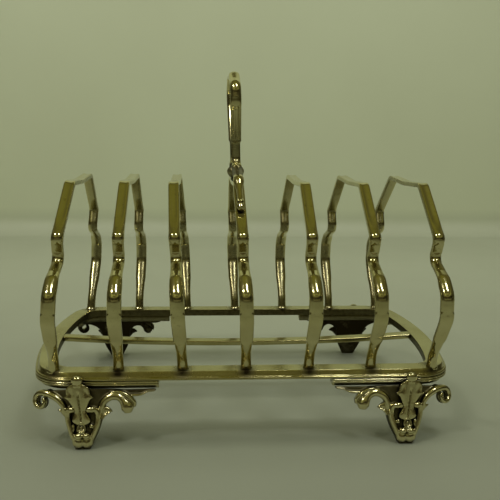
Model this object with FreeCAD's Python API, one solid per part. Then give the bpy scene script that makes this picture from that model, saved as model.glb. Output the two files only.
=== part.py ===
import FreeCAD, Part
import math
import os

os.makedirs("parts", exist_ok=True)
V = FreeCAD.Vector

# Seven-arch toast rack in silver. Millimetres, +Z up.
# Origin: on the table, under the middle of the base frame.
# X runs along the rack from bar to bar, Y across it (front is -Y).

# ---- base frame: a flat-topped ring with bevelled outer edge ---------------
RAIL_TOP = 27.0          # height of the frame's flat top above the table
RAIL_H = 3.2             # depth of the frame's section
HALF_LENGTH = 84.8       # centre of the frame to its outer edge, at the middle of an end bar
HALF_DEPTH = 49.7        # centre of the frame to a long side
END_RADIUS = 170.0       # the end bars bow outwards on this radius
CORNER_RADIUS = 15.0     # plan radius of the corners
BEVEL = 1.5              # how far the outer edge leans out from top to bottom
RAIL_WIDTH = 8.2         # full width of the frame's section

# ---- middle rail -----------------------------------------------------------
MID_WIDTH = 5.0
MID_H = 2.2
MID_SAG = 2.6            # the long strip dips this far at its centre

# ---- arches ----------------------------------------------------------------
PITCH = 24.0             # centre to centre of the arches
LEANS = (3.2, 0.7, -3.3, -2.0, 0.2, -0.1, 0.2)   # degrees from upright
STRIP = 2.5              # thickness of the strip, seen from the side
SOLDER = 0.2             # depth that a foot sinks into its fillet of solder

# Half of an arch seen along X: (y, height above the frame, bend radius).
ARCH = (
    (45.0, 0.0, 0.0),      # foot
    (46.4, 4.6, 8.0),      # ankle
    (58.3, 22.3, 7.0),     # end of the long facet
    (57.7, 31.0, 5.0),     # shoulder
    (52.6, 36.3, 3.0),     # top of the shoulder
    (40.8, 41.1, 2.6),     # neck
    (45.1, 50.0, 2.2),     # nub
    (22.0, 68.1, 3.2),     # top corner
)
ARCH_DIP = 67.2            # height of the slightly hollow top at its centre

# Half width of the strip at heights above the frame.
ARCH_FLARE = ((-1.0, 2.0), (11.0, 2.0), (14.0, 2.4), (33.0, 2.4), (39.0, 2.1), (75.0, 2.1))

# ---- handle ----------------------------------------------------------------
HANDLE_STRIP = 2.2
HANDLE_TOP = 110.4         # centre of the slightly hollow top
# Half of the handle, from its top corner to the scroll end on the arch.
HANDLE = (
    (8.6, 111.3, 3.0),     # top corner
    (17.6, 106.0, 4.0),    # shoulder
    (17.6, 100.0, 5.0),    # end of the shoulder
    (9.6, 84.8, 6.0),      # ledge
    (8.7, 77.0, 3.0),      # stem
    (12.0, 73.6, 2.0),     # nub
    (22.8, 70.5, 2.6),     # over the arch's corner
    (36.6, 59.8, 0.0),     # scroll end
)
HANDLE_FLARE = ((50.0, 2.1), (72.6, 2.1), (83.8, 1.8), (84.8, 2.1), (115.0, 2.1))
KNOP_RADIUS = 3.7
KNOP_HEIGHT = 6.8
KNOP_FOOT, KNOP_CROWN = 1.9, 1.7   # radii of its flat under and upper faces

# ---- feet ------------------------------------------------------------------
FOOT_X = 60.4              # centre line of a foot
FOOT_TILT = 16.0           # degrees that a foot splays outwards
FOOT_FACE = 51.0           # y of a foot's front face where it meets the moulding
MOULD_H = 3.2              # two reeds and a recessed band below them
REED = 0.85                # height of each reed
MOULD_FROM_X = 32.4        # where the moulding ends along the side
MOULD_FROM_Y = 33.0        # and along the end bar
MOULD_WIDTH = 6.7          # how far the moulding reaches in under the frame
MOULD_STEP = 1.5           # how far its lower band is set back
CAST = 4.6                 # thickness of the leg
LEAF = 2.0                 # thickness of the leaf
LEAF_LEAN = 7.0            # degrees that the leaf leans towards the corner
CURL = 1.4                 # how far the curls beside the leaf stand proud of the leg
CURL_RADIUS = 1.5
CURLS = (-4.4, 4.0)        # their places across the leg
CURL_DROP = -13.2          # their height from the frame top
SPUR = 3.0                 # thickness of the spurs
WING_DEPTH = 2.4           # thickness of the wing
LEAF_KNOB = (-3.1, 1.9)    # height from the frame top, and radius
ARM = 3.6                  # thickness of the scroll arms
ARM_WRAP = 30.0            # degrees that the outer arm turns round the corner
ARM_HINGE = -7.0           # where it starts to turn
# Arms: centre across, centre height, inner and outer radius, start and stop in degrees.
ARM_IN = (11.6, -12.5, 3.5, 6.1, 185, 35)
ARM_OUT = (-14.8, -14.6, 6.7, 9.1, 95, 5)
# Rounded ends: centre across, centre height, radius.
DROP = (16.4, -10.9, 3.3)
VOLUTE = (-15.8, -9.1, 3.5)
VOLUTE_EYE = (-15.2, -9.5, 1.6)
LEG = ((-9.6, -6.4), (-6.8, -13.6), (-4.9, -25.0), (-4.0, -30.0), (4.0, -30.0),
       (5.2, -24.6), (6.8, -13.8), (11.0, -6.4))
SPUR_OUT = ((-6.0, -12.0), (-9.2, -14.3), (-6.0, -18.5))
SPUR_IN = ((6.0, -12.0), (10.4, -15.0), (6.0, -20.5))
WING = ((12.0, -6.4), (26.6, -6.4), (26.4, -7.1), (20.6, -8.8), (12.0, -8.6))
LEAF_SIDE = ((1.7, -3.6), (2.7, -5.0), (4.6, -6.6), (5.5, -9.2), (4.6, -11.0),
             (2.6, -12.6), (2.2, -15.5), (0.0, -19.4))


def save(node, shape):
    """Write one piece as one clean solid."""
    solids = shape.removeSplitter().Solids
    if len(solids) != 1 or not solids[0].isValid():
        raise RuntimeError("%s: %d solids" % (node, len(solids)))
    solids[0].exportStep("parts/%s.step" % node)


def arc(a, mid, b):
    return Part.Arc(a, mid, b).toShape()


def prism(points, depth):
    """Extrude a polygon of (x, z) points along +Y."""
    pts = [V(x, 0, z) for x, z in points]
    face = Part.Face(Part.makePolygon(pts + pts[:1]))
    return face.extrude(V(0, depth, 0))


def bent_path(points):
    """A wire in the YZ plane through corners (y, z, radius), each corner rounded."""
    edges, last = [], V(0, points[0][0], points[0][1])
    for before, here, after in zip(points, points[1:], points[2:]):
        p = V(0, here[0], here[1])
        a = V(0, before[0], before[1]).sub(p).normalize()
        b = V(0, after[0], after[1]).sub(p).normalize()
        half = a.getAngle(b) / 2
        if half > math.radians(89.5):
            continue
        cut = here[2] / math.tan(half)
        start, end = p + a * cut, p + b * cut
        middle = (a + b).normalize()
        mid = p + middle * (here[2] / math.sin(half) - here[2])
        edges += [Part.makeLine(last, start), arc(start, mid, end)]
        last = end
    edges.append(Part.makeLine(last, V(0, points[-1][0], points[-1][1])))
    return Part.Wire(edges)


def strip_along(path, thickness, half_width):
    """Sweep a flat strip along a path in the YZ plane, lying across X."""
    first = path.OrderedEdges[0]
    start = first.valueAt(first.FirstParameter)
    along = first.tangentAt(first.FirstParameter)
    out = along.cross(V(1, 0, 0)).normalize() * (thickness / 2)
    side = V(half_width, 0, 0)
    ring = [start + out + side, start + out - side, start - out - side, start - out + side]
    pipe = Part.BRepOffsetAPI.MakePipeShell(path)
    pipe.setBiNormalMode(V(1, 0, 0))
    pipe.add(Part.makePolygon(ring + ring[:1]))
    pipe.build()
    pipe.makeSolid()
    return pipe.shape()


def flare(table):
    """The solid that a strip is trimmed to: half widths against height."""
    left = [(-w, z) for z, w in table]
    right = [(w, z) for z, w in reversed(table)]
    return prism(left + right, 200).translate(V(0, -100, 0))


def whole(half, dip):
    """A full path from a half outline, mirrored through a slightly hollow top."""
    far = [(-y, z, r) for y, z, r in half]
    return far, [(0.0, dip, 60.0)], list(reversed(half))


def place_leaning(shape, index):
    """Lean a piece sideways about its foot and move it to its bar of the rack."""
    shape.rotate(V(0, 0, 0), V(0, 1, 0), LEANS[index])
    shape.translate(V((index - 3) * PITCH, 0, RAIL_TOP))
    return shape


def make_arch(index):
    far, top, near = whole(ARCH, ARCH_DIP)
    foot = ARCH[0][0]
    path = bent_path([(-foot, -1.0, 0.0)] + far[1:] + top + near[:-1] + [(foot, -1.0, 0.0)])
    bar = strip_along(path, STRIP, 2.6).common(flare(ARCH_FLARE))
    bar = place_leaning(bar, index)
    ground = Part.makeBox(300, 300, 40, V(-150, -150, RAIL_TOP - SOLDER - 40))
    return bar.cut(ground)


def make_handle():
    down = list(HANDLE)
    up = [(-y, z, r) for y, z, r in reversed(down)]
    path = bent_path(up + [(0.0, HANDLE_TOP, 40.0)] + down)
    bar = strip_along(path, HANDLE_STRIP, 2.4).common(flare(HANDLE_FLARE))
    return place_leaning(bar, 3)


def make_knop():
    """A turned bead on the middle of the fourth arch, under the handle."""
    base = ARCH_DIP + STRIP / 2 - SOLDER
    h, r = KNOP_HEIGHT, KNOP_RADIUS
    rim = [V(0, 0, base), V(KNOP_FOOT, 0, base), V(r, 0, base + 0.5 * h),
           V(KNOP_CROWN, 0, base + h), V(0, 0, base + h)]
    edges = [Part.makeLine(rim[0], rim[1]),
             arc(rim[1], V(r * 0.87, 0, base + 0.22 * h), rim[2]),
             arc(rim[2], V(r * 0.85, 0, base + 0.8 * h), rim[3]),
             Part.makeLine(rim[3], rim[4]), Part.makeLine(rim[4], rim[0])]
    bead = Part.Face(Part.Wire(edges)).revolve(V(0, 0, 0), V(0, 0, 1), 360)
    return place_leaning(bead, 3)


def ring_outline(inset, z):
    """Plan of the frame, moved inwards by inset: straight sides, bowed ends."""
    depth, big, small = HALF_DEPTH - inset, END_RADIUS - inset, CORNER_RADIUS - inset
    centre = HALF_LENGTH - END_RADIUS
    cx = centre + math.sqrt((big - small) ** 2 - (depth - small) ** 2)
    reach = math.hypot(cx - centre, depth - small)
    ux, uy = (cx - centre) / reach, (depth - small) / reach
    side = V(cx, depth, z)
    end = V(centre + big * ux, big * uy, z)
    turn = math.atan2(uy, ux)
    mean = (turn + math.pi / 2) / 2
    mid = V(cx + small * math.cos(mean), depth - small + small * math.sin(mean), z)
    tip = V(centre + big, 0, z)

    def at(p, sx, sy):
        return V(p.x * sx, p.y * sy, p.z)

    return Part.Wire([
        Part.makeLine(at(side, -1, 1), side), arc(side, mid, end),
        arc(end, tip, at(end, 1, -1)), arc(at(end, 1, -1), at(mid, 1, -1), at(side, 1, -1)),
        Part.makeLine(at(side, 1, -1), at(side, -1, -1)),
        arc(at(side, -1, -1), at(mid, -1, -1), at(end, -1, -1)),
        arc(at(end, -1, -1), at(tip, -1, 1), at(end, -1, 1)),
        arc(at(end, -1, 1), at(mid, -1, 1), at(side, -1, 1))])


def slab(inset, z, height):
    return Part.Face(ring_outline(inset, z)).extrude(V(0, 0, height))


def make_frame():
    under = RAIL_TOP - RAIL_H
    body = Part.makeLoft([ring_outline(0.0, under), ring_outline(BEVEL, RAIL_TOP)], True, True)
    return body.cut(slab(RAIL_WIDTH, under - 1, RAIL_H + 2))


def make_middle_rail():
    """A flat strip between the end bars, dipping a little at its centre."""
    reach = HALF_LENGTH - RAIL_WIDTH

    def bow(z):
        return V(-reach, 0, z), V(0, 0, z - MID_SAG), V(reach, 0, z)

    (tl, tm, tr), (bl, bm, br) = bow(RAIL_TOP - 0.1), bow(RAIL_TOP - 0.1 - MID_H)
    edges = [arc(tl, tm, tr), Part.makeLine(tr, br), arc(br, bm, bl), Part.makeLine(bl, tl)]
    strip = Part.Face(Part.Wire(edges)).extrude(V(0, MID_WIDTH, 0))
    return strip.translate(V(0, -MID_WIDTH / 2, 0))


def make_moulding():
    """Two reeds and a recessed band under the frame's front right corner."""
    z = RAIL_TOP - RAIL_H - MOULD_H
    deep = MOULD_H - 2 * REED
    band = slab(0.0, z + deep + REED, REED).fuse(slab(0.1, z + deep, REED)).fuse(slab(MOULD_STEP, z, deep))
    band = band.cut(slab(MOULD_WIDTH, z - 1, MOULD_H + 2))
    keep = Part.makeBox(100, 100, 10, V(MOULD_FROM_X, -MOULD_FROM_Y - 100, z - 2))
    return band.common(keep)


def scroll(cu, cw, inner, outer, start, stop, depth):
    """A C-shaped arm: a flat ring sector from start to stop degrees."""
    a, b = math.radians(start), math.radians(stop)

    def at(r, t):
        return V(cu + r * math.cos(t), 0, cw + r * math.sin(t))

    m = (a + b) / 2
    edges = [arc(at(outer, a), at(outer, m), at(outer, b)), Part.makeLine(at(outer, b), at(inner, b)),
             arc(at(inner, b), at(inner, m), at(inner, a)), Part.makeLine(at(inner, a), at(outer, a))]
    return Part.Face(Part.Wire(edges)).extrude(V(0, depth, 0))


def disc(cu, cw, r, depth):
    return Part.makeCylinder(r, depth, V(cu, 0, cw), V(0, 1, 0))


def splay(shape, clear):
    """Stand a foot piece at the front right: u points to the middle of the rack.

    Pieces are drawn facing -Y with u along -X and heights below the frame top.
    They are cut off level with the table, and at the depth clear below the frame top.
    """
    hinge = V(0, 0, -RAIL_H - MOULD_H)
    shape = shape.mirror(V(0, 0, 0), V(1, 0, 0))
    shape.rotate(hinge, V(1, 0, 0), -FOOT_TILT)
    shape.translate(V(FOOT_X, -FOOT_FACE, RAIL_TOP))
    return shape.common(Part.makeBox(400, 400, RAIL_TOP - clear, V(-200, -200, 0)))


def make_scrolls():
    """The cast leg with its two scroll arms, spurs and wing."""
    leg = prism(LEG, CAST)
    inner = scroll(*ARM_IN, ARM).fuse(disc(*DROP, ARM))
    outer = scroll(*ARM_OUT, ARM).fuse(disc(*VOLUTE, ARM))
    outer = outer.cut(disc(*VOLUTE_EYE, ARM))
    outer.rotate(V(ARM_HINGE, 0, 0), V(0, 0, 1), -ARM_WRAP)
    spurs = prism(SPUR_OUT, SPUR).fuse(prism(SPUR_IN, SPUR))
    body = leg.fuse(inner).fuse(outer).fuse(spurs).fuse(prism(WING, WING_DEPTH))
    for u in CURLS:
        body = body.fuse(disc(u, CURL_DROP, CURL_RADIUS, CURL + CAST / 2).translate(V(0, -CURL, 0)))
    return splay(body, RAIL_H + MOULD_H)


def make_leaf():
    """The pointed leaf with its top knob, on the front of the leg."""
    side = [V(u, 0, w) for u, w in LEAF_SIDE]
    curve = Part.BSplineCurve()
    curve.interpolate(side)
    other = curve.toShape().mirror(V(0, 0, 0), V(1, 0, 0))
    top = Part.makeLine(V(-side[0].x, 0, side[0].z), side[0])
    blade = Part.Face(Part.Wire(Part.__sortEdges__([curve.toShape(), other, top])))
    body = blade.extrude(V(0, -LEAF, 0)).fuse(disc(0, *LEAF_KNOB, LEAF).translate(V(0, -LEAF, 0)))
    body.rotate(side[-1], V(0, 1, 0), -LEAF_LEAN)
    return splay(body, 0.5)


def corner_copy(shape, sx, sy):
    if sx < 0:
        shape = shape.mirror(V(0, 0, 0), V(1, 0, 0))
    if sy > 0:
        shape = shape.mirror(V(0, 0, 0), V(0, 1, 0))
    return shape


save("base_frame", make_frame())
save("middle_rail", make_middle_rail())
for number in range(7):
    save("arch_%d" % (number + 1), make_arch(number))
save("handle_loop", make_handle())
save("handle_knop", make_knop())
pieces = (("moulding", make_moulding()), ("scroll_foot", make_scrolls()), ("leaf", make_leaf()))
for long_name, sy in (("front", -1), ("rear", 1)):
    for side_name, sx in (("left", -1), ("right", 1)):
        for piece_name, piece in pieces:
            save("%s_%s_%s" % (long_name, side_name, piece_name), corner_copy(piece, sx, sy))
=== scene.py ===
import math

import bmesh
import bpy
import numpy as np
from mathutils import Matrix, Vector


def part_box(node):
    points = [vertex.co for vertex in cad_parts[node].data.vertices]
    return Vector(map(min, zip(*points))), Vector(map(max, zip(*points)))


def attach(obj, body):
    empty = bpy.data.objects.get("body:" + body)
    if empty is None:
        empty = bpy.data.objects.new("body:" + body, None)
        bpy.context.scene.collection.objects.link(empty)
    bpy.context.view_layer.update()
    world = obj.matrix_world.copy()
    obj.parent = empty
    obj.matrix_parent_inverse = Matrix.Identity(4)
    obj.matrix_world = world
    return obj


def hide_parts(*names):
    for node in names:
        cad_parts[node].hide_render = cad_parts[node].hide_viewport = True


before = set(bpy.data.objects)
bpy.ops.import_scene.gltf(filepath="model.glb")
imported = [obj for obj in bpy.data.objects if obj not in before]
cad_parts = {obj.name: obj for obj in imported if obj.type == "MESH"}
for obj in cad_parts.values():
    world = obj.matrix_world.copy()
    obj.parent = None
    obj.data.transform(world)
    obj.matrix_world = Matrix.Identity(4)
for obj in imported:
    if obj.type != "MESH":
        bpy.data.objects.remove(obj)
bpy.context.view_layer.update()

# The looks of the seven-arch toast rack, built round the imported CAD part.
# Shapes are worked out in millimetres in the part's frame and scaled to metres as each mesh is made.
MM = 0.001

frame_lo, frame_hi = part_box("base_frame")
RAIL_TOP = frame_hi.z / MM           # flat top of the base frame
RAIL_UNDER = frame_lo.z / MM
HALF_LENGTH = frame_hi.x / MM
HALF_DEPTH = frame_hi.y / MM
END_RADIUS, CORNER_RADIUS = 170.0, 15.0             # outer edge of the frame
RAIL_WIDTH = 8.2
PITCH = 24.0                                        # spacing of the arches
LEANS = (3.2, 0.7, -3.3, -2.0, 0.2, -0.1, 0.2)      # degrees, arch by arch
ARCHES = len(LEANS)
MIDDLE_ARCH = ARCHES // 2                           # stands at x = 0 and carries the handle


# ---------------------------------------------------------------- mesh helpers
def mesh_object(name, verts, faces, scale=MM):
    """A smooth-shaded object from vertices in millimetres."""
    mesh = bpy.data.meshes.new(name)
    mesh.from_pydata([tuple(v) for v in np.asarray(verts, float) * scale], [], faces)
    mesh.validate()
    mesh.polygons.foreach_set("use_smooth", [True] * len(mesh.polygons))
    mesh.update()
    obj = bpy.data.objects.new(name, mesh)
    bpy.context.scene.collection.objects.link(obj)
    return obj


def face_outwards(obj):
    bm = bmesh.new()
    bm.from_mesh(obj.data)
    bmesh.ops.recalc_face_normals(bm, faces=bm.faces)
    bm.to_mesh(obj.data)
    bm.free()


def publish(obj, node, material):
    """Finish a piece: outward faces, material, body, and the CAD node it stands for."""
    face_outwards(obj)
    obj.data.materials.append(material)
    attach(obj, "root")
    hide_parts(node)


def ease(value, start, full):
    """0 at start, 1 at full, and a straight run between."""
    return np.clip((value - start) / (full - start), 0.0, 1.0)


def mark_recess(obj, amount):
    """Store how much tarnish and painted shade each vertex keeps, from 0 to 1."""
    layer = obj.data.attributes.new("recess", "FLOAT", "POINT")
    layer.data.foreach_set("value", amount)


def grid_faces(rows, cols, closed_rows=False, closed_cols=True):
    faces = []
    for i in range(rows if closed_rows else rows - 1):
        for j in range(cols if closed_cols else cols - 1):
            a, b = i * cols + j, i * cols + (j + 1) % cols
            c, d = ((i + 1) % rows) * cols + (j + 1) % cols, ((i + 1) % rows) * cols + j
            faces.append((a, b, c, d))
    return faces


def capped(rings):
    """Vertices and faces of a tube through closed rings, with its ends filled."""
    rows, cols = len(rings), len(rings[0])
    verts = [p for ring in rings for p in ring]
    faces = grid_faces(rows, cols)
    faces.append(tuple(range(cols)))
    faces.append(tuple((rows - 1) * cols + j for j in range(cols)))
    return np.array(verts), faces


def smooth_curve(points, per_span):
    """Catmull-Rom through points of any width (position, sizes and so on)."""
    p = np.array(points, float)
    p = np.vstack([2 * p[0] - p[1], p, 2 * p[-1] - p[-2]])
    out = []
    for i in range(1, len(p) - 2):
        for k in range(per_span):
            t = k / per_span
            a, b, c, d = p[i - 1], p[i], p[i + 1], p[i + 2]
            out.append(0.5 * (2 * b + (c - a) * t + (2 * a - 5 * b + 4 * c - d) * t * t
                              + (3 * b - a - 3 * c + d) * t ** 3))
    out.append(p[-2])
    return np.array(out)


def lame(angle, a, b, power):
    """A point of a superellipse with half sizes a and b."""
    c, s = math.cos(angle), math.sin(angle)
    return (a * math.copysign(abs(c) ** (2 / power), c), b * math.copysign(abs(s) ** (2 / power), s))


# ---------------------------------------------------------------- bent strips
BEND_SHARE = 0.12          # marks on each side of a corner taken up by its bend
BEND_STEP = 7.0            # most degrees between two sections of a bend


def rounded_run(corners, step):
    """Points and outward normals along a run through corners (y, z, radius) in the YZ plane.

    Each point also gets its place in the run: k at the middle of corner k's bend.
    """
    pts, normals, marks = [], [], []
    last, last_mark = np.array(corners[0][:2], float), 0.0

    def line(a, b, m0, m1):
        length = np.linalg.norm(b - a)
        n = max(2, int(length / step))
        t = (b - a) / max(length, 1e-9)
        for k in range(n):
            pts.append(a + (b - a) * k / n)
            normals.append((-t[1], t[0]))
            marks.append(m0 + (m1 - m0) * k / n)

    for i in range(1, len(corners) - 1):
        p = np.array(corners[i][:2], float)
        a = np.array(corners[i - 1][:2], float) - p
        b = np.array(corners[i + 1][:2], float) - p
        a, b = a / np.linalg.norm(a), b / np.linalg.norm(b)
        half = math.acos(max(-1.0, min(1.0, float(a @ b)))) / 2
        radius = corners[i][2]
        cut = radius / math.tan(half)
        start, end = p + a * cut, p + b * cut
        line(last, start, last_mark, i - BEND_SHARE)
        centre = p + (a + b) / np.linalg.norm(a + b) * radius / math.sin(half)
        a0 = math.atan2(*(start - centre)[::-1])
        turn = (math.atan2(*(end - centre)[::-1]) - a0 + math.pi) % (2 * math.pi) - math.pi
        n = max(4, int(abs(turn) * radius / step), int(abs(turn) / math.radians(BEND_STEP)))
        for k in range(n):
            ang = a0 + turn * k / n
            radial = np.array((math.cos(ang), math.sin(ang)))
            pts.append(centre + radial * radius)
            normals.append(tuple(radial * (-1 if turn > 0 else 1)))
            marks.append(i - BEND_SHARE + 2 * BEND_SHARE * k / n)
        last, last_mark = end, i + BEND_SHARE
    end = np.array(corners[-1][:2], float)
    line(last, end, last_mark, len(corners) - 1.0)
    pts.append(end)
    normals.append(normals[-1])
    marks.append(len(corners) - 1.0)
    return np.array(pts), np.array(normals), np.array(marks)


def strip(corners, table, hollow, last_mark, step=0.35, around=44):
    """Sweep a section along a run.

    Rows of the table: mark, half width, outer thickness, outer squareness, inner thickness, inner squareness.
    hollow gives the depth of the dip along the middle of the outer face at a mark.
    The two halves of the run are alike: marks past the middle count back down from last_mark.
    """
    pts, normals, marks = rounded_run(corners, step)
    marks = np.minimum(marks, last_mark - marks)
    table = np.array(table, float)
    rings = []
    for p, n, m in zip(pts, normals, marks):
        half, out, out_power, inn, inn_power = (np.interp(m, table[:, 0], table[:, k]) for k in range(1, 6))
        ring = []
        for k in range(around):
            angle = 2 * math.pi * (k + 0.5) / around
            outer = math.sin(angle) > 0
            x, rise = lame(angle, half, out if outer else inn, out_power if outer else inn_power)
            if outer:
                rise -= hollow(m) * (1 - (x / half) ** 2) ** 2
            ring.append((x, p[0] + n[0] * rise, p[1] + n[1] * rise))
        rings.append(ring)
    return capped(rings)


def lean_and_place(verts, index):
    """Lean a piece about its foot and move it to its bar of the rack, as the CAD does."""
    t = math.radians(LEANS[index])
    x, y, z = verts[:, 0], verts[:, 1], verts[:, 2]
    return np.stack([x * math.cos(t) + z * math.sin(t) + (index - MIDDLE_ARCH) * PITCH, y,
                     z * math.cos(t) - x * math.sin(t) + RAIL_TOP], 1)


# Half outline of an arch: (y, height above the frame, bend radius).
ARCH = ((45.0, -0.6, 0.0), (46.4, 4.6, 8.0), (58.3, 22.3, 6.0), (57.7, 31.0, 5.0), (52.6, 36.3, 3.8),
        (40.8, 41.1, 3.4), (45.1, 50.0, 2.0), (22.0, 68.1, 4.2))
ARCH_DIP = (0.0, 67.2, 60.0)
# Section along the half outline: mark, half width, outer thickness and squareness, inner the same.
ARCH_SECTION = (
    (0.00, 2.70, 2.00, 2.1, 2.00, 2.1), (0.10, 2.40, 1.75, 2.0, 1.75, 2.0),   # solder
    (0.24, 2.00, 1.50, 1.9, 1.50, 2.0), (0.80, 1.95, 1.50, 1.6, 1.50, 2.0),   # ridged leg
    (1.22, 1.95, 1.55, 1.5, 1.50, 2.0), (1.42, 2.20, 1.30, 2.2, 1.45, 2.0),
    (1.54, 2.46, 1.02, 7.0, 1.40, 2.0), (1.90, 2.55, 1.02, 8.0, 1.40, 2.0),   # long facet
    (2.12, 2.56, 1.02, 7.0, 1.40, 2.0), (2.22, 2.56, 1.25, 2.6, 1.45, 2.0),
    (2.50, 2.60, 1.65, 2.0, 1.50, 2.0), (3.00, 2.60, 1.85, 1.9, 1.50, 2.0),   # shoulder
    (3.50, 2.58, 1.80, 1.9, 1.45, 2.0), (4.00, 2.42, 1.45, 2.0, 1.40, 2.0),
    (4.40, 2.15, 1.20, 2.4, 1.35, 2.0), (4.80, 2.16, 1.60, 1.9, 1.35, 2.0),   # neck
    (5.10, 2.18, 1.66, 1.9, 1.35, 2.0), (5.20, 2.14, 1.05, 7.0, 1.35, 2.0),
    (5.78, 2.14, 1.02, 8.0, 1.35, 2.2), (5.85, 2.18, 1.35, 2.6, 1.35, 2.4),   # facet
    (5.94, 2.26, 1.75, 2.0, 1.30, 2.8), (6.08, 2.24, 1.75, 2.0, 1.20, 4.0),   # nub
    (6.20, 2.10, 1.25, 3.0, 1.10, 5.5), (6.32, 2.12, 1.20, 3.6, 1.05, 6.0),   # slanted face
    (6.84, 2.14, 1.25, 3.6, 1.05, 6.0), (7.12, 2.12, 1.15, 3.6, 1.05, 6.0),
    (8.00, 2.12, 1.05, 4.0, 1.00, 6.0))


def arch_hollow(mark):
    """The slanted faces and the top are hollowed along their middle."""
    return np.interp(mark, (6.2, 6.4, 8.0), (0.0, 0.50, 0.30))


def no_hollow(mark):
    return 0.0


def arch_mesh():
    near = [(-y, z, r) for y, z, r in ARCH]
    far = [(y, z, r) for y, z, r in reversed(ARCH)]
    return strip(near + [ARCH_DIP] + far, ARCH_SECTION, arch_hollow, 2.0 * len(ARCH))


# Half outline of the handle, from its top down to a scroll end.
HANDLE = ((8.6, 111.3, 3.0), (17.6, 106.0, 4.0), (17.6, 100.0, 5.0), (9.6, 84.8, 3.0), (8.7, 77.0, 3.0),
          (12.0, 73.6, 1.7), (22.8, 70.5, 2.6), (33.0, 63.1, 2.0), (34.5, 61.2, 1.2), (36.6, 59.8, 0.0))
HANDLE_DIP = (0.0, 110.4, 40.0)
# Marks count from the scroll end on the front of the arch up to the middle of the top.
HANDLE_SECTION = (
    (0.00, 0.60, 0.45, 2.0, 0.45, 2.0), (0.12, 1.15, 1.05, 2.0, 1.05, 2.0),
    (0.60, 1.60, 1.55, 2.0, 1.20, 2.2), (1.00, 1.20, 1.00, 2.0, 1.00, 2.2),
    (1.50, 1.60, 1.60, 2.0, 1.10, 2.2), (2.00, 1.20, 1.05, 2.0, 1.05, 2.4),
    (2.45, 1.30, 1.05, 2.0, 1.05, 3.0), (2.62, 1.65, 1.25, 2.0, 1.10, 2.6),
    (2.76, 2.15, 1.85, 2.0, 1.20, 2.4), (2.88, 2.15, 1.85, 2.0, 1.20, 2.4),
    (3.06, 2.00, 1.15, 2.4, 1.10, 3.0), (3.80, 2.05, 1.05, 2.4, 1.15, 2.4),
    (4.00, 2.10, 1.70, 2.0, 1.20, 2.2), (4.30, 2.10, 1.60, 2.0, 1.20, 2.2),
    (4.60, 1.90, 1.10, 2.0, 1.20, 2.0), (5.00, 1.75, 1.05, 1.7, 1.20, 2.0),
    (5.80, 1.75, 1.10, 1.7, 1.20, 2.0), (5.90, 2.00, 1.30, 2.0, 1.20, 2.0),
    (5.98, 2.25, 1.75, 2.0, 1.25, 2.0), (6.08, 2.25, 1.75, 2.0, 1.25, 2.0),
    (6.16, 2.18, 1.20, 2.2, 1.25, 2.0), (6.80, 2.20, 1.25, 2.2, 1.25, 2.0),
    (6.90, 2.24, 1.55, 2.0, 1.30, 2.0), (7.40, 2.26, 1.80, 2.0, 1.35, 2.0),
    (8.00, 2.24, 1.75, 1.9, 1.30, 2.0), (8.40, 2.20, 1.45, 1.9, 1.20, 2.0),
    (9.00, 2.15, 1.35, 1.9, 1.15, 2.0), (10.00, 2.10, 1.15, 2.2, 1.10, 2.4))


def handle_mesh():
    near = [(-y, z, r) for y, z, r in reversed(HANDLE)]
    far = list(HANDLE)
    return strip(near + [HANDLE_DIP] + far, HANDLE_SECTION, no_hollow, 2.0 * len(HANDLE), step=0.3)


# Half section of the knop: (radius, height).
KNOP_PROFILE = (
    (1.2, 0.0), (2.0, 0.05), (2.25, 0.45), (1.75, 0.85), (2.3, 1.2), (3.2, 2.2), (3.62, 3.5),
    (3.3, 4.7), (2.3, 5.8), (1.6, 6.2), (1.95, 6.6), (1.75, 7.0), (0.5, 7.1))
KNOP_SEAT = 1.0            # the knop's foot above the arch's dip


def knop_mesh():
    """A melon-shaped bead with eight lobes between two small collars."""
    base = ARCH_DIP[1] + KNOP_SEAT
    curve = smooth_curve(KNOP_PROFILE, 6)
    rings = []
    around = 96
    for r, z in curve:
        share = max(0.0, min(1.0, (r - 2.2) / 1.2))
        ring = []
        for k in range(around):
            t = 2 * math.pi * k / around
            lobe = 1 - 0.10 * share * (1 - abs(math.cos(4 * t))) ** 1.5
            ring.append((r * lobe * math.cos(t), r * lobe * math.sin(t), base + z))
        rings.append(ring)
    return capped(rings)


# ---------------------------------------------------------------- base frame
def outline_stations(per_side=70, per_corner=26, per_end=44):
    """Points and outward normals round the frame's outer edge."""
    centre = HALF_LENGTH - END_RADIUS
    reach = END_RADIUS - CORNER_RADIUS
    rise = HALF_DEPTH - CORNER_RADIUS
    cx = centre + math.sqrt(reach ** 2 - rise ** 2)
    turn = math.atan2(rise, cx - centre)
    quarter = []
    for k in range(per_corner):
        t = math.pi / 2 + (turn - math.pi / 2) * k / per_corner
        n = (math.cos(t), math.sin(t))
        quarter.append(((cx + CORNER_RADIUS * n[0], rise + CORNER_RADIUS * n[1]), n))
    for k in range(per_end // 2 + 1):
        t = turn * (1 - k / (per_end // 2))
        n = (math.cos(t), math.sin(t))
        quarter.append(((centre + END_RADIUS * n[0], END_RADIUS * n[1]), n))
    side = [((-cx + 2 * cx * k / per_side, HALF_DEPTH), (0.0, 1.0)) for k in range(per_side)]
    east = quarter + [((p[0], -p[1]), (n[0], -n[1])) for p, n in reversed(quarter[:-1])]
    south = [((-p[0], -p[1]), (-n[0], -n[1])) for p, n in side]
    west = [((-p[0], -p[1]), (-n[0], -n[1])) for p, n in east]
    ring = side + east + south[1:] + west
    seen, out = set(), []
    for p, n in ring:
        key = (round(p[0], 4), round(p[1], 4))
        if key not in seen:
            seen.add(key)
            out.append((np.array(p), np.array(n)))
    return out


def arc_points(cx, cz, r, start, stop, count):
    return [(cx + r * math.cos(math.radians(start + (stop - start) * k / (count - 1))),
             cz + r * math.sin(math.radians(start + (stop - start) * k / (count - 1)))) for k in range(count)]


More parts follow.
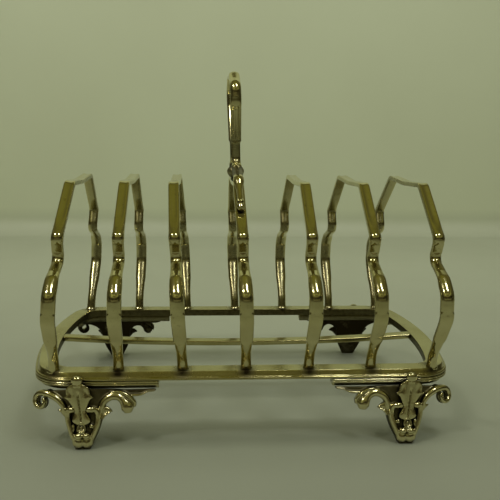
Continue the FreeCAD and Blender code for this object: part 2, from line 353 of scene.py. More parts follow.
def frame_profile():
    """Section of the rail: (inset from the outer edge, height), anticlockwise from the top inner edge."""
    top, low = RAIL_TOP, RAIL_UNDER
    prof = arc_points(RAIL_WIDTH - 0.3, top - 0.3, 0.3, 0, 90, 5)
    prof += [(d, top - 0.02 * math.sin(d)) for d in (6.8, 5.6, 4.4, 3.2, 2.4)]
    prof += arc_points(1.82, top - 0.25, 0.25, 90, 155, 5)
    prof += [(1.36, top - 0.65), (1.18, top - 1.1), (1.02, top - 1.5), (0.90, top - 1.78)]
    prof += arc_points(0.62, low + 0.62, 0.62, 75, 265, 12)
    prof += [(1.2, low + 0.12), (1.6, low + 0.02), (3.6, low), (6.0, low)]
    prof += arc_points(RAIL_WIDTH - 0.3, low + 0.3, 0.3, -90, 0, 4)
    prof += [(RAIL_WIDTH, (low + top) / 2)]
    return prof


def swept_profile(stations, profile, closed):
    rings = []
    for p, n in stations:
        rings.append([(p[0] - n[0] * d, p[1] - n[1] * d, z) for d, z in profile])
    if not closed:
        return capped(rings)
    verts = np.array([v for ring in rings for v in ring])
    return verts, grid_faces(len(rings), len(profile), closed_rows=True)


MOULD_FROM_X, MOULD_FROM_Y = 32.4, 33.0     # the run's ends along the side and the end bar
MOULD_PIVOT = 30.0                          # the run is put in order round (this, this)
MOULD_DEPTH, MOULD_INSET = 3.1, 6.7


def moulding_profile():
    """Two reeds with a recessed band below them."""
    top = RAIL_UNDER
    prof = [(MOULD_INSET, top + 0.1), (1.0, top + 0.1), (0.75, top - 0.05)]
    prof += arc_points(0.35, top - 0.50, 0.42, 80, 285, 9)
    prof += arc_points(0.40, top - 1.32, 0.42, 75, 280, 9)
    prof += [(1.15, top - 1.80), (1.55, top - 2.1), (1.75, top - 2.6)]
    prof += [(1.6, top - MOULD_DEPTH), (MOULD_INSET, top - MOULD_DEPTH)]
    return prof


def moulding_mesh():
    """The front right corner's moulding, from along the side to along the end bar."""
    run = [(p, n) for p, n in outline_stations(per_side=180) if p[0] > MOULD_FROM_X and p[1] > MOULD_FROM_Y]
    run.sort(key=lambda s: math.atan2(s[0][1] - MOULD_PIVOT, s[0][0] - MOULD_PIVOT))
    front = [(p * (1, -1), n * (1, -1)) for p, n in run]
    return swept_profile(front, moulding_profile(), closed=False)


def middle_rail_mesh(count=160, around=28, half_width=2.5, thick=2.2, overlap=0.4, squareness=6.0):
    """A flat strip between the end bars, sagging in the middle to the bottom of the CAD rail."""
    lo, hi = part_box("middle_rail")
    reach, top, low = hi.x / MM + overlap, hi.z / MM, lo.z / MM
    sag = top - low - thick
    rings = []
    for i in range(count + 1):
        x = -reach + 2 * reach * i / count
        z = top - thick / 2 - sag * (1 - (x / reach) ** 2)
        ring = []
        for k in range(around):
            y, up = lame(2 * math.pi * (k + 0.5) / around, half_width, thick / 2, squareness)
            ring.append((x, y, z + up))
        rings.append(ring)
    return capped(rings)


# ---------------------------------------------------------------- feet
# A foot is drawn facing the viewer: u towards the middle of the rack, d towards the viewer,
# w the height from the frame's top. It is then wrapped round the corner, splayed and placed.
FOOT_X, FOOT_FACE = 60.4, 51.0              # the foot's middle in x, and its face in y
FOOT_TILT = 16.0                            # degrees of splay
HINGE_DROP = 3.2
HINGE = RAIL_UNDER - HINGE_DROP - RAIL_TOP
WRAP_FROM, WRAP_RADIUS = -7.0, 23.0         # the outer arm bends round the corner past here
PLATE_FRONT, PLATE_BACK, WING_BACK = -1.5, -4.4, -3.0
SCROLL_VOXEL, LEAF_VOXEL = 0.24, 0.17       # millimetres


def band(points, per_span=8, around=20, power=2.6):
    """A tapering bar through points (u, w, half width, front, back)."""
    curve = smooth_curve(points, per_span)
    uw = curve[:, :2]
    tangent = np.gradient(uw, axis=0)
    tangent /= np.linalg.norm(tangent, axis=1)[:, None] + 1e-9
    rings = []
    for (u, w, half, front, back), t in zip(curve, tangent):
        mid, deep = (front + back) / 2, max(0.05, (front - back) / 2)
        ring = []
        for k in range(around):
            a, b = lame(2 * math.pi * (k + 0.5) / around, max(half, 0.05), deep, power)
            ring.append((u - t[1] * a, mid + b, w + t[0] * a))
        rings.append(ring)
    return capped(rings)


def ball(u, d, w, ru, rd, rw, rows=14, cols=24):
    rings = []
    for i in range(1, rows):
        lat = -math.pi / 2 + math.pi * i / rows
        rings.append([(u + ru * math.cos(lat) * math.cos(2 * math.pi * j / cols),
                       d + rd * math.cos(lat) * math.sin(2 * math.pi * j / cols),
                       w + rw * math.sin(lat)) for j in range(cols)])
    return capped(rings)


def plate(points, front, back, per_span=5):
    """A flat plate with a smooth closed outline of (u, w) points."""
    curve = smooth_curve(list(points) + [points[0]], per_span)[:-1]
    rings = [[(u, d, w) for u, w in curve] for d in (back, front)]
    return capped(rings)


def spiral(cu, cw, r0, r1, start, stop, half0, half1, front, back, count=18):
    out = []
    for k in range(count):
        t = k / (count - 1)
        a, r = math.radians(start + (stop - start) * t), r0 + (r1 - r0) * t
        out.append((cu + r * math.cos(a), cw + r * math.sin(a), half0 + (half1 - half0) * t, front, back))
    return out


# Outlines are (u, w). Bands are (u, w, half width, front, back).
LEG_OUTLINE = (
    (-13.5, -6.1), (-10.6, -7.4), (-8.4, -9.9), (-7.0, -13.0), (-6.5, -17.0), (-5.4, -21.0),
    (-4.0, -24.2), (-3.0, -26.6), (-1.8, -28.6), (1.8, -28.6), (3.0, -26.6), (4.1, -24.2),
    (5.6, -21.0), (6.8, -17.0), (7.0, -13.5), (7.4, -10.6), (9.4, -8.4), (12.5, -6.9),
    (13.0, -5.9), (0.0, -5.6))
OUTER_ARM = (
    (-6.0, -15.5, 0.55, -0.6, -3.6), (-6.7, -13.2, 0.95, -0.2, -3.6), (-7.6, -11.2, 1.2, 0.1, -3.6),
    (-9.2, -9.4, 1.3, 0.2, -3.6), (-11.4, -8.0, 1.35, 0.2, -3.6), (-13.9, -7.1, 1.25, 0.2, -3.6))
INNER_ARM = (
    (5.6, -17.0, 0.4, -0.7, -3.6), (6.2, -14.6, 0.9, -0.3, -3.6), (6.5, -12.5, 1.15, 0.1, -3.6),
    (7.2, -10.6, 1.3, 0.2, -3.6), (8.7, -9.1, 1.4, 0.3, -3.6), (10.8, -8.3, 1.45, 0.3, -3.6),
    (12.9, -8.6, 1.45, 0.4, -3.6), (14.5, -9.9, 1.6, 0.5, -3.6), (15.7, -11.6, 2.15, 0.8, -3.5),
    (16.2, -13.0, 2.2, 0.7, -3.2), (16.4, -14.5, 1.2, 0.0, -2.6))
INNER_CAP = (
    (9.6, -7.0, 0.35, -0.2, -2.4), (12.4, -6.7, 0.6, 0.0, -3.0), (15.0, -7.4, 0.75, 0.2, -3.2),
    (17.2, -8.9, 0.8, 0.1, -3.2), (18.7, -10.7, 0.65, -0.4, -3.2), (18.8, -12.3, 0.35, -1.0, -2.8))
INNER_SPUR = (
    (6.4, -16.5, 0.5, -0.8, -3.0), (7.3, -13.6, 1.5, -0.8, -3.0), (8.8, -13.1, 1.0, -0.8, -2.8),
    (10.6, -13.9, 0.2, -1.0, -2.0))
SPUR_VEIN = (
    (7.0, -16.6, 0.3, -0.2, -1.6), (8.2, -15.0, 0.4, -0.2, -1.6), (9.8, -14.2, 0.25, -0.6, -1.6))
OUTER_SPUR = (
    (-6.4, -15.5, 0.5, -0.8, -3.0), (-7.4, -13.7, 1.0, -0.8, -3.0), (-8.4, -13.3, 0.6, -0.8, -2.6),
    (-9.4, -13.0, 0.15, -1.0, -2.0))
WING_OUTLINE = (
    (12.0, -5.9), (20.0, -5.9), (25.6, -5.7), (26.6, -6.1), (25.6, -6.6), (23.6, -6.7),
    (22.4, -7.4), (20.2, -8.0), (17.4, -7.8), (14.5, -7.8))
WING_EDGE = (
    (15.5, -7.6, 0.35, -1.0, -2.6), (17.6, -7.9, 0.42, -0.7, -2.6), (20.0, -8.0, 0.45, -0.6, -2.6),
    (22.0, -7.5, 0.35, -0.8, -2.6), (23.4, -6.8, 0.32, -0.9, -2.6), (26.2, -6.5, 0.2, -1.0, -2.4))
# Straps that curl over at the top and frame the dark panels.
LEFT_STRAP = (
    (-3.9, -14.0, 0.35, 0.9, -1.8), (-3.2, -13.2, 0.55, 1.3, -1.8), (-3.9, -12.5, 0.75, 1.6, -1.8),
    (-5.0, -12.8, 0.95, 1.4, -1.8), (-5.5, -14.0, 1.05, 0.8, -1.8), (-5.45, -16.2, 1.05, 0.5, -1.8),
    (-4.8, -18.8, 1.0, 0.4, -1.8), (-3.95, -21.8, 0.9, 0.2, -1.8), (-2.7, -24.8, 0.7, -0.2, -1.8))
RIGHT_STRAP = (
    (2.3, -14.0, 0.35, 0.9, -1.8), (1.6, -13.1, 0.55, 1.3, -1.8), (2.5, -12.5, 0.75, 1.6, -1.8),
    (4.1, -12.9, 0.95, 1.4, -1.8), (5.2, -13.9, 1.05, 0.8, -1.8), (5.5, -15.9, 1.05, 0.5, -1.8),
    (5.1, -18.6, 1.05, 0.4, -1.8), (4.1, -21.6, 0.9, 0.2, -1.8), (2.8, -24.8, 0.7, -0.2, -1.8))
HUSK = (
    (-0.4, -17.2, 0.3, 0.9, -1.4), (-1.5, -18.8, 0.32, 0.9, -1.4), (-1.7, -20.3, 0.34, 0.9, -1.4),
    (-0.4, -21.2, 0.36, 0.9, -1.4), (0.9, -20.3, 0.34, 0.9, -1.4), (0.8, -18.8, 0.32, 0.9, -1.4),
    (-0.4, -17.2, 0.3, 0.9, -1.4))
# Balls: centre (u, d, w), then the half sizes along u, d and w.
ARM_BEADS = (
    (-13.6, -2.6, -6.2, 1.4, 1.2, 0.7), (-10.9, -2.3, -7.0, 1.1, 1.0, 0.6))
STRAP_CURLS = (
    (-4.2, 0.5, -12.9, 1.4, 1.3, 1.25), (3.2, 0.5, -12.9, 1.4, 1.3, 1.25))
TOE_FORMS = (
    (-0.4, -0.9, -19.8, 0.9, 1.3, 1.3), (2.9, -0.9, -19.0, 0.8, 1.0, 1.0),
    (-3.3, -0.9, -19.6, 0.6, 0.9, 1.6), (-1.45, 0.0, -22.5, 1.45, 1.5, 1.2),
    (1.35, 0.0, -22.4, 1.4, 1.5, 1.2), (-3.0, -1.3, -24.4, 0.8, 1.2, 1.9),
    (3.0, -1.4, -24.4, 0.8, 1.2, 1.9), (-1.3, -1.8, -24.7, 2.0, 2.1, 2.55),
    (1.4, -1.8, -24.7, 1.95, 2.1, 2.55))
OUTER_VOLUTE = (-16.5, -9.9, 3.0, 1.5, 90, 405, 1.15, 0.7, 0.2, -3.4)


def scroll_parts():
    """The overlapping forms that are fused into one cast foot."""
    parts = [plate(LEG_OUTLINE, PLATE_FRONT, PLATE_BACK), band(list(OUTER_ARM) + spiral(*OUTER_VOLUTE))]
    parts += [ball(*sizes) for sizes in ARM_BEADS]
    parts += [band(points) for points in (INNER_ARM, INNER_CAP, INNER_SPUR, SPUR_VEIN, OUTER_SPUR)]
    parts.append(plate(WING_OUTLINE, PLATE_FRONT, WING_BACK))
    parts += [band(points) for points in (WING_EDGE, LEFT_STRAP, RIGHT_STRAP)]
    parts += [ball(*sizes) for sizes in STRAP_CURLS]
    parts.append(band(HUSK))
    parts += [ball(*sizes) for sizes in TOE_FORMS]
    return parts


LEAF_TOP, LEAF_FOOT = -3.1, -18.6
LEAF_TIP, LEAF_SET_BACK = 7.0, 0.25         # degrees forward; millimetres
LEAF_MIDDLE, LEAF_SLANT, LEAF_LEVEL = -2.2, 0.13, -2.8
KNOB_FOOT, LEAF_BACK = -3.2, -2.0
# Half width of the leaf against height.
LEAF_WIDTH = (
    (-18.6, 0.4), (-18.2, 1.8), (-17.6, 2.9), (-16.8, 3.3), (-15.6, 2.8), (-14.2, 2.15), (-13.2, 2.0),
    (-11.8, 2.6), (-10.6, 3.2), (-9.5, 3.8), (-8.9, 4.5), (-8.45, 5.4), (-8.1, 4.8), (-7.4, 4.3),
    (-6.4, 4.3), (-5.2, 4.1), (-4.4, 3.2), (-3.7, 1.9), (-3.1, 1.4))


def leaf_axis(w):
    """The leaf leans a little towards the corner."""
    return LEAF_MIDDLE + LEAF_SLANT * (LEAF_LEVEL - w)


def leaf_blade(rows=110, cols=41):
    """A pillowed blade with a central vein and a soft groove down each lobe."""
    widths = np.array(LEAF_WIDTH)
    front, back = [], []
    for i in range(rows):
        w = LEAF_FOOT + (LEAF_TOP - LEAF_FOOT) * i / (rows - 1)
        half = float(np.interp(w, widths[:, 0], widths[:, 1]))
        for j in range(cols):
            t = -1 + 2 * j / (cols - 1)
            edge = 1 - t ** 6
            vein = math.exp(-(t * half / 0.20) ** 2) * max(0.0, min(1.0, (w + 17.5) / 2)) \
                * max(0.0, min(1.0, (-6.2 - w) / 1.5))
            lobe = math.exp(-((abs(t) * half - 2.9) / 0.55) ** 2) * math.exp(-((w + 6.6) / 1.6) ** 2)
            crown = 0.55 + 0.28 * (1 - abs(t) ** 2.4) * edge
            lift = 0.35 * math.exp(-((w + 16.8) / 1.8) ** 2) * abs(t)
            front.append((leaf_axis(w) + t * half, crown - 0.75 * vein - 0.3 * lobe + lift, w))
            back.append((leaf_axis(w) + t * half, LEAF_BACK, w))
    faces = grid_faces(rows, cols, closed_cols=False)
    n = rows * cols
    faces += [tuple(n + k for k in reversed(f)) for f in grid_faces(rows, cols, closed_cols=False)]
    edge = [(i, 0) for i in range(rows)] + [(rows - 1, j) for j in range(1, cols)]
    edge += [(i, cols - 1) for i in range(rows - 2, -1, -1)] + [(0, j) for j in range(cols - 2, 0, -1)]
    ids = [i * cols + j for i, j in edge]
    for a, b in zip(ids, ids[1:] + ids[:1]):
        faces.append((a, b, n + b, n + a))
    return np.array(front + back), faces


def tip_leaf(verts):
    """Tip the leaf's top a little forward of its lower point."""
    verts = np.array(verts, float)
    verts[:, 1] += (verts[:, 2] - LEAF_FOOT) * math.tan(math.radians(LEAF_TIP)) - LEAF_SET_BACK
    return verts


def leaf_parts():
    """The blade, the knob at its top and two small curls under the knob."""
    middle = leaf_axis(KNOB_FOOT)
    return [leaf_blade(), ball(middle, 0.1, -2.3, 2.15, 1.45, 1.75),
            ball(middle - 0.4, 0.3, -4.3, 0.9, 0.7, 0.6), ball(middle + 0.9, 0.3, -4.2, 0.8, 0.7, 0.6)]


def cast(name, parts, voxel):
    """Fuse overlapping forms into one casting and soften it. Returns vertices in mm and faces."""
    verts, faces, start = [], [], 0
    for v, f in parts:
        verts.append(v)
        faces += [tuple(start + k for k in face) for face in f]
        start += len(v)
    obj = mesh_object(name, np.vstack(verts), faces, scale=1.0)
    face_outwards(obj)
    remesh = obj.modifiers.new("fuse", "REMESH")
    remesh.mode, remesh.voxel_size = "VOXEL", voxel
    soften = obj.modifiers.new("soften", "SMOOTH")
    soften.factor, soften.iterations = 0.5, 3
    graph = bpy.context.evaluated_depsgraph_get()
    result = bpy.data.meshes.new_from_object(obj.evaluated_get(graph))
    out = np.array([v.co for v in result.vertices]), [tuple(p.vertices) for p in result.polygons]
    bpy.data.objects.remove(obj)
    bpy.data.meshes.remove(result)
    return out


def wrap_and_splay(verts):
    """Bend the outer arm round the frame's corner, splay the foot and stand it at the front right."""
    u, d, w = verts[:, 0].copy(), verts[:, 1].copy(), verts[:, 2].copy()
    phi = np.maximum(0.0, WRAP_FROM - u) / WRAP_RADIUS
    outer = phi > 0
    bent_u = WRAP_FROM - (WRAP_RADIUS + d) * np.sin(phi)
    bent_d = (WRAP_RADIUS + d) * np.cos(phi) - WRAP_RADIUS
    u, d = np.where(outer, bent_u, u), np.where(outer, bent_d, d)
    t = math.radians(-FOOT_TILT)
    y, z = -d, w - HINGE
    return np.stack([FOOT_X - u, y * math.cos(t) - z * math.sin(t) - FOOT_FACE,
                     y * math.sin(t) + z * math.cos(t) + HINGE + RAIL_TOP], 1)


def level_sole(obj):
    """Cut the foot off level with the table."""
    bm = bmesh.new()
    bm.from_mesh(obj.data)
    geom = bm.verts[:] + bm.edges[:] + bm.faces[:]
    cut = bmesh.ops.bisect_plane(bm, geom=geom, plane_co=(0, 0, 0), plane_no=(0, 0, 1), clear_inner=True)
    rim = [e for e in cut["geom_cut"] if isinstance(e, bmesh.types.BMEdge)]
    bmesh.ops.contextual_create(bm, geom=rim)
    bm.to_mesh(obj.data)
    bm.free()


CORNERS = (("front_left", -1, 1), ("front_right", 1, 1), ("rear_left", -1, -1), ("rear_right", 1, -1))


def at_corner(verts, sx, sy):
    return verts * np.array((sx, sy, 1.0))


# ---------------------------------------------------------------- materials
class Nodes:
    """A short way to add nodes and links to a tree."""

    def __init__(self, tree):
        self.tree = tree
        tree.nodes.clear()

    def feed(self, socket, value):
        """Link an output to a socket, or set the socket to a plain value."""
        if isinstance(value, bpy.types.NodeSocket):
            self.tree.links.new(value, socket)
        else:
            socket.default_value = value

    def add(self, kind, settings=None, **inputs):
        node = self.tree.nodes.new(kind)
        for key, value in (settings or {}).items():
            setattr(node, key, value)
        for key, value in inputs.items():
            self.feed(node.inputs[key.replace("_", " ")], value)
        return node

    def ramp(self, factor, stops):
        node = self.tree.nodes.new("ShaderNodeValToRGB")
        node.color_ramp.interpolation = "LINEAR"
        while len(node.color_ramp.elements) < len(stops):
            node.color_ramp.elements.new(0.5)
        for element, (place, colour) in zip(node.color_ramp.elements, stops):
            element.position = place
            element.color = (*colour, 1.0)
        self.tree.links.new(factor, node.inputs["Fac"])
        return node.outputs["Color"]

    def span(self, value, low, high, to_low, to_high):
        node = self.add("ShaderNodeMapRange")
        self.tree.links.new(value, node.inputs["Value"])
        for name, number in (("From Min", low), ("From Max", high), ("To Min", to_low), ("To Max", to_high)):
            node.inputs[name].default_value = number
        return node.outputs["Result"]

    def maths(self, operation, a, b):
        node = self.add("ShaderNodeMath", {"operation": operation})
        for socket, value in zip(node.inputs, (a, b)):
            self.feed(socket, value)
        return node.outputs[0]

    def mix(self, factor, a, b):
        node = self.add("ShaderNodeMix", {"data_type": "RGBA"})
        for socket, value in ((node.inputs[0], factor), (node.inputs[6], a), (node.inputs[7], b)):
            self.feed(socket, (*value, 1.0) if isinstance(value, tuple) else value)
        return node.outputs[2]

    def times(self, a, b):
        node = self.tree.nodes.new("ShaderNodeVectorMath")
        node.operation = "MULTIPLY"
        self.tree.links.new(a, node.inputs[0])
        self.tree.links.new(b, node.inputs[1])
        return node.outputs[0]


def inward_share(n):
    """How far a face turns towards the middle of the rack: those are never polished, and they get painted
    shade.
    """
    geometry = n.add("ShaderNodeNewGeometry")
    place = n.add("ShaderNodeSeparateXYZ", Vector=geometry.outputs["Position"])
    facing = n.add("ShaderNodeSeparateXYZ", Vector=geometry.outputs["Normal"])
    across = n.span(place.outputs["Y"], -0.02, 0.02, 1.0, -1.0)
    along = n.span(place.outputs["X"], -0.07, 0.07, 1.0, -1.0)
    towards = n.maths("ADD", n.maths("MULTIPLY", facing.outputs["Y"], across),
                      n.maths("MULTIPLY", facing.outputs["X"], along))
    return n.span(towards, 0.45, 0.85, 0.0, 1.0)


RECESS_REACH = 2.8 * MM                     # how far the recess test looks
# The dark colour of tarnish, also used for painted shade.
TARNISH_AND_SHADE = (0.030, 0.022, 0.009)
SPOT = (0.27, 0.21, 0.09)


def silver(name, bright, worn, gloss, recess, patina, inner):
    """Old polished silver: warm bloom in patches, tarnish with painted shade in the recesses and on faces
    turned to the middle of the rack, fine wipe marks and soft dents.
    """
    mat = bpy.data.materials.new(name)
    mat.use_nodes = True
    n = Nodes(mat.node_tree)
    place = n.add("ShaderNodeTexCoord").outputs["Object"]
    bloom = n.add("ShaderNodeTexNoise", Vector=place, Scale=70.0, Detail=4.0, Roughness=0.55).outputs["Fac"]
    specks = n.add("ShaderNodeTexNoise", Vector=place, Scale=620.0, Detail=3.0, Roughness=0.6).outputs["Fac"]
    stretched = n.add("ShaderNodeMapping", Vector=place)
    stretched.inputs["Scale"].default_value = (1.0, 0.12, 1.0)
    stretched.inputs["Rotation"].default_value = (0.0, 0.0, 0.3)
    wipes = n.add("ShaderNodeTexNoise", Vector=stretched.outputs["Vector"], Scale=2600.0,
                  Detail=2.0).outputs["Fac"]
    dents = n.add("ShaderNodeTexNoise", Vector=place, Scale=240.0, Detail=1.5).outputs["Fac"]

    # Tarnish and painted shade in the recesses, from ambient occlusion and from the stored recess attribute.
    hollow = n.add("ShaderNodeAmbientOcclusion", {"samples": 12}, Distance=RECESS_REACH).outputs["AO"]
    shade = n.span(hollow, recess[0], recess[1], 1.0, 0.0)
    stored = n.add("ShaderNodeAttribute", {"attribute_name": "recess"}).outputs["Fac"]
    shade = n.maths("MAXIMUM", shade, n.maths("MULTIPLY", stored, n.span(bloom, 0.35, 0.6, 0.85, 1.15)))
    # Painted shade and tarnish on faces turned to the middle of the rack.
    shade = n.maths("MAXIMUM", shade, n.maths("MULTIPLY", inward_share(n), inner))
    shade = n.maths("MULTIPLY", shade, n.span(specks, 0.3, 0.65, 0.94, 1.05))
    shade = n.maths("MINIMUM", n.maths("MAXIMUM", shade, 0.0), 1.0)

    body = n.mix(n.span(bloom, 0.35, 0.7, 0.0, patina), bright, worn)
    spots = n.span(specks, 0.62, 0.74, 0.0, 0.6)
    body = n.mix(spots, body, SPOT)
    colour = n.mix(shade, body, TARNISH_AND_SHADE)

    rough = n.span(bloom, 0.3, 0.7, gloss[0], gloss[1])
    rough = n.maths("ADD", rough, n.maths("MULTIPLY", shade, 0.28))
    rough = n.maths("ADD", rough, n.span(wipes, 0.3, 0.7, 0.0, 0.05))

    soft = n.add("ShaderNodeBump", Strength=1.0, Distance=0.00007, Height=dents)
    fine = n.add("ShaderNodeBump", Strength=0.5, Distance=0.0000025, Height=wipes,
                 Normal=soft.outputs["Normal"])
    pits = n.add("ShaderNodeBump", Strength=0.6, Distance=0.000006, Height=specks,
                 Normal=fine.outputs["Normal"])
    shader = n.add("ShaderNodeBsdfPrincipled", Base_Color=colour, Roughness=rough, Metallic=1.0,
                   Normal=pits.outputs["Normal"])
    n.add("ShaderNodeOutputMaterial", Surface=shader.outputs["BSDF"])
    return mat


def painted(name, colour, tint, scale, rough):
    """A matt studio surface with a faint mottle and grain."""
    mat = bpy.data.materials.new(name)
    mat.use_nodes = True
    n = Nodes(mat.node_tree)
    place = n.add("ShaderNodeTexCoord").outputs["Object"]
    mottle = n.add("ShaderNodeTexNoise", Vector=place, Scale=scale, Detail=3.0).outputs["Fac"]
    grain = n.add("ShaderNodeTexNoise", Vector=place, Scale=900.0, Detail=2.0).outputs["Fac"]
    shade = n.mix(n.span(mottle, 0.3, 0.7, 0.0, 1.0), colour, tint)
    # In reflections only, the table goes dark away from the rack, as a dim room would.
    away = n.add("ShaderNodeSeparateXYZ", Vector=place)
    far_side = n.span(n.maths("ABSOLUTE", away.outputs["X"], 0.0), 0.30, 0.55, 0.0, 0.85)
    far_front = n.span(away.outputs["Y"], -0.40, -0.60, 0.0, 0.85)
    mirrored = n.maths("SUBTRACT", 1.0, n.add("ShaderNodeLightPath").outputs["Is Camera Ray"])
    room = n.maths("MULTIPLY", n.maths("MAXIMUM", far_side, far_front), mirrored)
    # Painted shade deepening towards the front of the table, and painted light up the wall.
    near = n.mix(n.span(away.outputs["Y"], 0.30, -0.12, 0.0, 1.0), (0.74, 0.725, 0.73), (0.52, 0.51, 0.52))
    lit = n.mix(n.span(away.outputs["Z"], 0.0, 0.03, 0.0, 1.0), near, (1.12, 1.11, 1.04))
    shade = n.times(shade, lit)
    shade = n.mix(room, shade, (0.07, 0.06, 0.035))
    bump = n.add("ShaderNodeBump", Strength=0.3, Distance=0.0001, Height=grain)
    shader = n.add("ShaderNodeBsdfPrincipled", Base_Color=shade, Normal=bump.outputs["Normal"],
                   Roughness=n.span(mottle, 0.3, 0.7, rough, rough + 0.1))
    n.add("ShaderNodeOutputMaterial", Surface=shader.outputs["BSDF"])
    return mat


STRIP_SILVER = silver("strip_silver", bright=(0.66, 0.61, 0.33), worn=(0.54, 0.48, 0.22),
                      gloss=(0.08, 0.15), recess=(0.30, 0.74), patina=0.6, inner=0.50)
FRAME_SILVER = silver("frame_silver", bright=(0.58, 0.53, 0.27), worn=(0.45, 0.39, 0.15),
                      gloss=(0.12, 0.24), recess=(0.35, 0.86), patina=0.9, inner=0.82)
CAST_SILVER = silver("cast_silver", bright=(0.70, 0.65, 0.38), worn=(0.52, 0.46, 0.21),
                     gloss=(0.10, 0.19), recess=(0.30, 0.84), patina=0.5, inner=0.72)


# ---------------------------------------------------------------- pieces
arch_verts, arch_faces = arch_mesh()
for i in range(ARCHES):
    node = "arch_%d" % (i + 1)
    bar = mesh_object(node + "_strip", lean_and_place(arch_verts, i), arch_faces)
    publish(bar, node, STRIP_SILVER)

handle_verts, handle_faces = handle_mesh()
handle = mesh_object("handle_strip", lean_and_place(handle_verts, MIDDLE_ARCH), handle_faces)
# Painted dark reflection where the stem meets the slanted sides, and a lighter one up the stem.
valley = ease(np.abs(handle_verts[:, 1]), 22.6, 21.2) * ease(handle_verts[:, 2], 75.2, 74.0)
stem = 0.45 * ease(handle_verts[:, 2], 98.0, 88.0) * ease(handle_verts[:, 2], 75.0, 77.0)
mark_recess(handle, np.maximum(0.85 * valley, stem))
publish(handle, "handle_loop", STRIP_SILVER)
knop_verts, knop_faces = knop_mesh()
bead = mesh_object("handle_bead", lean_and_place(knop_verts, MIDDLE_ARCH), knop_faces)
# Tarnish all over the bead, with painted shade deepening where it narrows and between the lobes.
mark_recess(bead, 0.45 + 0.5 * ease(np.hypot(knop_verts[:, 0], knop_verts[:, 1]), 3.5, 2.4))
publish(bead, "handle_knop", CAST_SILVER)
ring_verts, ring_faces = swept_profile(outline_stations(per_side=240), frame_profile(), closed=True)
ring = mesh_object("base_ring", ring_verts, ring_faces)
# A dark stain of solder round the foot of each arch, with a painted contact shadow and a painted reflection
# of the leg in the rail's bevel.
at_arch_feet = sum(np.exp(-((ring_verts[:, 0] - (k - MIDDLE_ARCH) * PITCH) / 2.8) ** 2) for k in range(ARCHES))
solder_stain_and_shadow = 0.95 * at_arch_feet * ease(np.abs(ring_verts[:, 1]), 40.0, 41.5)
mark_recess(ring, solder_stain_and_shadow * ease(ring_verts[:, 2], RAIL_UNDER, RAIL_TOP - 1))
publish(ring, "base_frame", FRAME_SILVER)
publish(mesh_object("middle_strip", *middle_rail_mesh()), "middle_rail", FRAME_SILVER)

moulding_verts, moulding_faces = moulding_mesh()
scroll_verts, scroll_faces = cast("scroll_form", scroll_parts(), SCROLL_VOXEL)
leaf_verts, leaf_faces = cast("leaf_form", leaf_parts(), LEAF_VOXEL)
leaf_depth = -leaf_verts[:, 1]
leaf_verts = tip_leaf(leaf_verts)
# Points that lie deeper behind the face of a foot or leaf keep more tarnish and painted shade.
for corner, sx, sy in CORNERS:
    publish(mesh_object(corner + "_reeds", at_corner(moulding_verts, sx, sy), moulding_faces),
            corner + "_moulding", CAST_SILVER)
    foot = mesh_object(corner + "_scrolls", at_corner(wrap_and_splay(scroll_verts), sx, sy), scroll_faces)
    mark_recess(foot, ease(-scroll_verts[:, 1], 0.8, 1.7))
    level_sole(foot)
    publish(foot, corner + "_scroll_foot", CAST_SILVER)
    leaf = mesh_object(corner + "_acanthus", at_corner(wrap_and_splay(leaf_verts), sx, sy), leaf_faces)
    mark_recess(leaf, ease(leaf_depth, -0.1, 0.5))
    publish(leaf, corner + "_leaf", CAST_SILVER)


# ---------------------------------------------------------------- stage, light and camera
def backdrop():
    """A pale table that turns up into a pale wall behind the rack."""
    wall_y, bend, far, high = 0.46, 0.02, 3.0, 0.75
    section = [(-far, 0.0), (-0.8, 0.0), (0.0, 0.0), (wall_y - bend, 0.0)]
    section += [(wall_y - bend + bend * math.sin(a), bend - bend * math.cos(a))
                for a in (math.radians(9 * k) for k in range(1, 11))]
    section += [(wall_y, 0.3), (wall_y, high)]
    verts = [(x, y, z) for y, z in section for x in (-far, far)]
    faces = [(2 * i, 2 * i + 1, 2 * i + 3, 2 * i + 2) for i in range(len(section) - 1)]
    obj = mesh_object("backdrop", np.array(verts), faces, scale=1.0)
    obj.data.materials.append(painted("pale_table", (0.43, 0.475, 0.345), (0.405, 0.445, 0.32), 6.0, 0.5))


def area_light(name, place, target, size, size_y, power, colour, glossy=True, shape="RECTANGLE"):
    data = bpy.data.lights.new(name, "AREA")
    data.shape, data.size, data.size_y, data.energy, data.color = shape, size, size_y, power, colour
    obj = bpy.data.objects.new(name, data)
    bpy.context.scene.collection.objects.link(obj)
    direction = np.array(target, float) - np.array(place, float)
    obj.location = place
    obj.rotation_euler = Vector(direction).to_track_quat("-Z", "Y").to_euler()
    obj.visible_glossy = glossy


# What lies overhead, from the horizon (0) to straight up (1): behind the rack and behind the camera.
SKY_BACK = (
    (0.0, (0.24, 0.25, 0.15)), (0.35, (0.26, 0.26, 0.13)), (0.6, (0.18, 0.17, 0.07)),
    (0.85, (0.09, 0.085, 0.03)), (0.96, (0.15, 0.145, 0.035)), (1.0, (0.168, 0.165, 0.036)))
SKY_FRONT = (
    (0.0, (0.17, 0.17, 0.10)), (0.10, (0.19, 0.18, 0.10)), (0.17, (0.03, 0.026, 0.012)),
    (0.34, (0.06, 0.05, 0.025)), (0.44, (0.26, 0.26, 0.11)), (0.66, (0.25, 0.25, 0.10)),
    (0.75, (0.07, 0.06, 0.02)), (0.86, (0.15, 0.145, 0.04)), (1.0, (0.168, 0.165, 0.036)))
# Dim and bright patches behind the camera, by noise level.
CLUTTER = (
    (0.40, (0.30, 0.27, 0.22)), (0.52, (0.95, 0.95, 0.9)), (0.62, (1.5, 1.5, 1.5)))


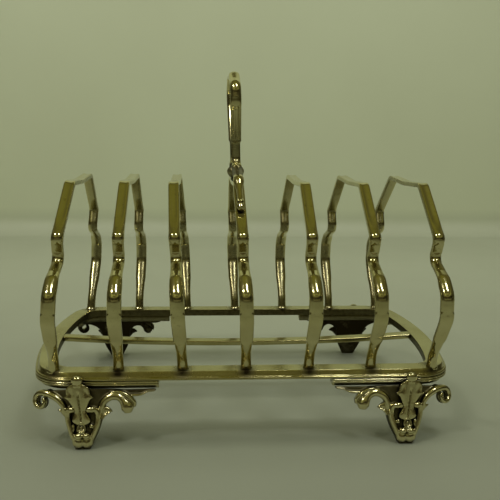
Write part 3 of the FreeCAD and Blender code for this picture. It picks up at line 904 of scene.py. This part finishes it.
def studio_world():
    """What the silver mirrors: pale round the horizon, dim and olive overhead and behind the camera."""
    world = bpy.data.worlds.new("studio")
    bpy.context.scene.world = world
    world.use_nodes = True
    n = Nodes(world.node_tree)
    direction = n.add("ShaderNodeTexCoord").outputs["Generated"]
    split = n.add("ShaderNodeSeparateXYZ", Vector=direction)
    height = n.span(split.outputs["Z"], 0.0, 1.0, 0.0, 1.0)
    behind = n.span(split.outputs["Y"], -0.5, 0.3, 0.0, 1.0)
    up_back = n.ramp(height, SKY_BACK)
    up_front = n.ramp(height, SKY_FRONT)
    clutter = n.add("ShaderNodeTexNoise", Vector=direction, Scale=5.0, Detail=1.5).outputs["Fac"]
    patches = n.mix(n.span(split.outputs["Z"], 0.75, 0.95, 0.0, 1.0),
                    n.ramp(clutter, CLUTTER),
                    (1.0, 1.0, 1.0))
    sides = n.span(n.maths("ABSOLUTE", split.outputs["X"], 0.0), 0.60, 0.85, 1.0, 0.30)
    seen = n.times(n.mix(behind, n.times(up_front, patches), up_back), sides)
    mirrored = n.add("ShaderNodeBackground", Color=seen, Strength=1.0)
    plain = n.add("ShaderNodeBackground", Strength=1.0)
    plain.inputs["Color"].default_value = (0.29, 0.31, 0.18, 1.0)
    eye = n.add("ShaderNodeLightPath").outputs["Is Camera Ray"]
    both = n.tree.nodes.new("ShaderNodeMixShader")
    n.tree.links.new(eye, both.inputs[0])
    n.tree.links.new(mirrored.outputs[0], both.inputs[1])
    n.tree.links.new(plain.outputs[0], both.inputs[2])
    n.add("ShaderNodeOutputWorld", Surface=both.outputs[0])


def camera():
    place, lens = (-0.01723, -0.29939, 0.11740), 50.4
    yaw, pitch, roll = (math.radians(a) for a in (4.079, 9.971, 0.763))
    look = np.array((math.sin(yaw) * math.cos(pitch), math.cos(yaw) * math.cos(pitch), -math.sin(pitch)))
    level = np.array((math.cos(yaw), -math.sin(yaw), 0.0))
    above = np.cross(level, look)
    right = math.cos(roll) * level + math.sin(roll) * above
    up = -math.sin(roll) * level + math.cos(roll) * above
    data = bpy.data.cameras.new("camera")
    data.lens, data.sensor_width, data.clip_start = lens, 36.0, 0.01
    obj = bpy.data.objects.new("camera", data)
    bpy.context.scene.collection.objects.link(obj)
    turn = Matrix((right, up, -look)).transposed().to_4x4()
    obj.matrix_world = Matrix.Translation(place) @ turn
    bpy.context.scene.camera = obj


backdrop()
studio_world()
camera()
area_light("round_lamp", place=(-0.52, -0.34, 0.88), target=(0, 0, 0.05), size=0.17, size_y=0.17,
           power=2.2, colour=(1.0, 0.97, 0.90), shape="ELLIPSE")
area_light("tall_window", place=(0.26, -0.34, 0.95), target=(0, 0, 0.05), size=0.11, size_y=0.34,
           power=2.0, colour=(0.95, 0.98, 1.0))
area_light("soft_top", place=(0.0, 0.10, 1.4), target=(0, 0.2, 0), size=1.6, size_y=0.8,
           power=4.4, colour=(1.0, 0.99, 0.90), glossy=False)
area_light("wall_wash", place=(0.16, 0.05, 0.6), target=(0.16, 0.46, 0.08), size=2.4, size_y=0.4,
           power=3.9, colour=(1.0, 0.99, 0.90), glossy=False)
bpy.context.scene.view_settings.view_transform = "Standard"
